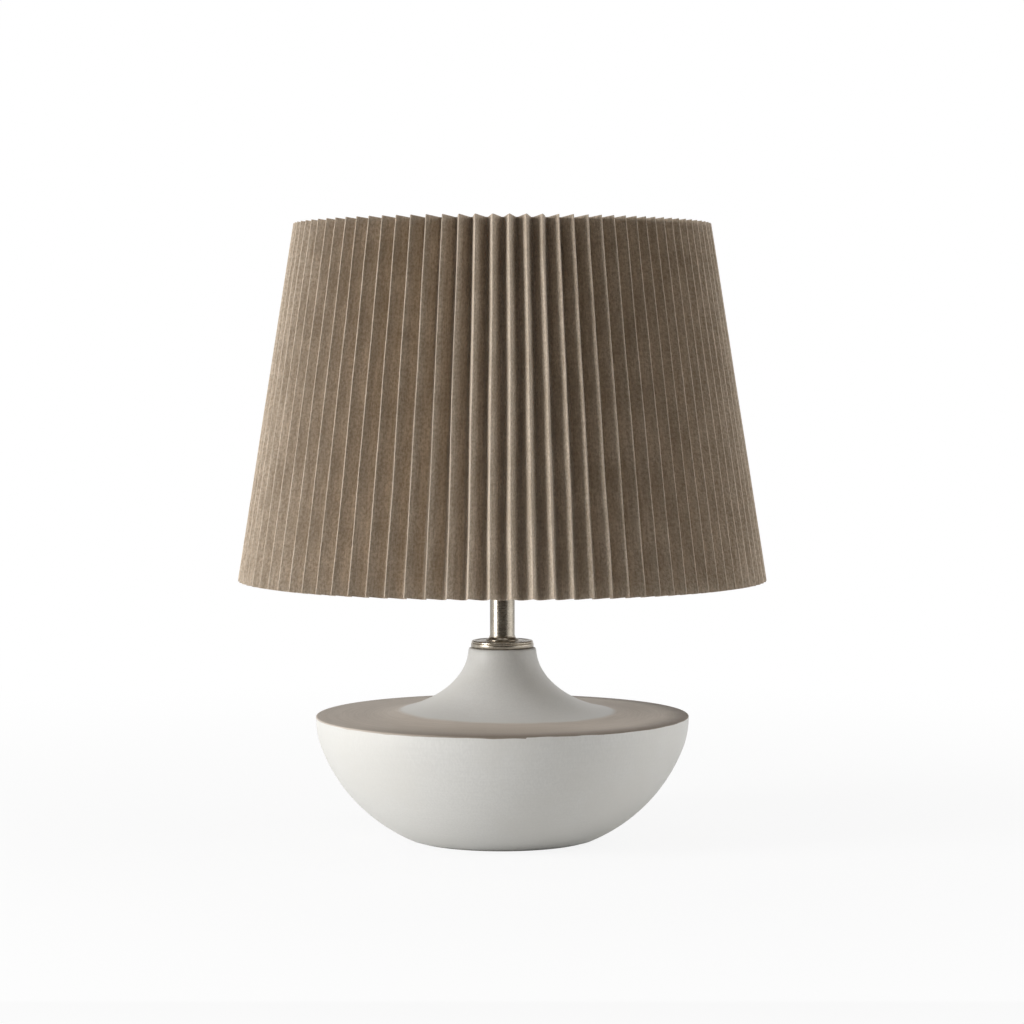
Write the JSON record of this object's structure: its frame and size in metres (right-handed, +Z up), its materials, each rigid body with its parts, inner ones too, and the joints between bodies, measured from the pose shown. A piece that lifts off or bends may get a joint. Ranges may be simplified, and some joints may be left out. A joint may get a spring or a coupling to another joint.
{
  "type": "table lamp",
  "caption": "Table lamp with a two-tone ceramic bowl base, a slim metal neck, a harp and a tapered drum shade of pleated paper.",
  "frame": {"origin": "on the table, under the lamp's vertical axis, at the underside of the felt pad", "axes": "+Z up the lamp's axis, -Y towards the viewer and the turn knob, +Y towards the cable inlet, +X to the viewer's right"},
  "size_m": [0.4058, 0.4058, 0.4748],
  "materials": {
    "felt": "matte wool felt",
    "glazed_ceramic": "matte white glaze with a taupe painted top",
    "nylon": "moulded nylon",
    "zinc_steel": "zinc plated, threaded",
    "brass": "plain brass",
    "satin_nickel": "satin nickel plate",
    "socket_nickel": "polished nickel plate",
    "card": "pressed card",
    "phenolic": "moulded phenolic",
    "aluminium": "bare aluminium",
    "black_plastic": "moulded, fluted",
    "opal_glass": "opal white",
    "black_glass": "black glass",
    "solder": "tinned",
    "white_wire": "white epoxy coat",
    "pleated_paper": "matte taupe paper"
  },
  "bodies": {
    "base": {"felt_pad": "felt", "ceramic_body": "glazed_ceramic", "cord_bushing": "nylon", "lamp_pipe": "zinc_steel", "bottom_washer": "zinc_steel", "lock_washer": "zinc_steel", "bottom_nut": "brass", "vase_cap": "satin_nickel", "check_ring": "satin_nickel", "neck_tube": "satin_nickel", "harp_saddle": "satin_nickel", "socket_cap": "socket_nickel", "socket_set_screw": "zinc_steel", "socket_shell": "socket_nickel", "socket_liner": "card", "socket_insulator": "phenolic", "terminal_screws": "brass", "screw_shell": "aluminium", "centre_contact": "brass"},
    "switch": {"switch_shaft": "brass", "switch_knob": "black_plastic"},
    "bulb": {"bulb_glass": "opal_glass", "bulb_screw_cap": "aluminium", "bulb_insulator": "black_glass", "bulb_contact": "solder"},
    "harp": {"harp_bow": "satin_nickel"},
    "ferrule_right": {"ferrule_right": "satin_nickel"},
    "ferrule_left": {"ferrule_left": "satin_nickel"},
    "swivel": {"swivel_stud": "satin_nickel"},
    "shade": {"fitter_washer": "white_wire", "top_ring": "white_wire", "spider_arms": "white_wire", "bottom_ring": "white_wire", "pleated_cover": "pleated_paper"},
    "finial": {"finial": "satin_nickel"}
  },
  "joints": [
    {"name": "switch_turn", "type": "hinge", "parent": "base", "child": "switch", "pos_m": [0, 0, 0.2282], "axis": [0, -1, 0], "continuous": true},
    {"name": "bulb_unscrew", "type": "slide", "parent": "base", "child": "bulb", "axis": [0, 0, 1], "range_m": [0, 0.034]},
    {"name": "harp_lift", "type": "slide", "parent": "base", "child": "harp", "axis": [0, 0, 1], "range_m": [0, 0.016]},
    {"name": "ferrule_right_slide", "type": "slide", "parent": "harp", "child": "ferrule_right", "axis": [0, 0, 1], "range_m": [0, 0.014]},
    {"name": "ferrule_left_slide", "type": "slide", "parent": "harp", "child": "ferrule_left", "axis": [0, 0, 1], "range_m": [0, 0.014]},
    {"name": "shade_swivel", "type": "hinge", "parent": "harp", "child": "swivel", "pos_m": [0, 0, 0.4494], "axis": [0, 0, 1], "continuous": true},
    {"name": "shade_lift", "type": "slide", "parent": "swivel", "child": "shade", "axis": [0, 0, 1], "range_m": [0, 0.28]},
    {"name": "finial_unscrew", "type": "slide", "parent": "shade", "child": "finial", "axis": [0, 0, 1], "range_m": [0, 0.014]}
  ]
}
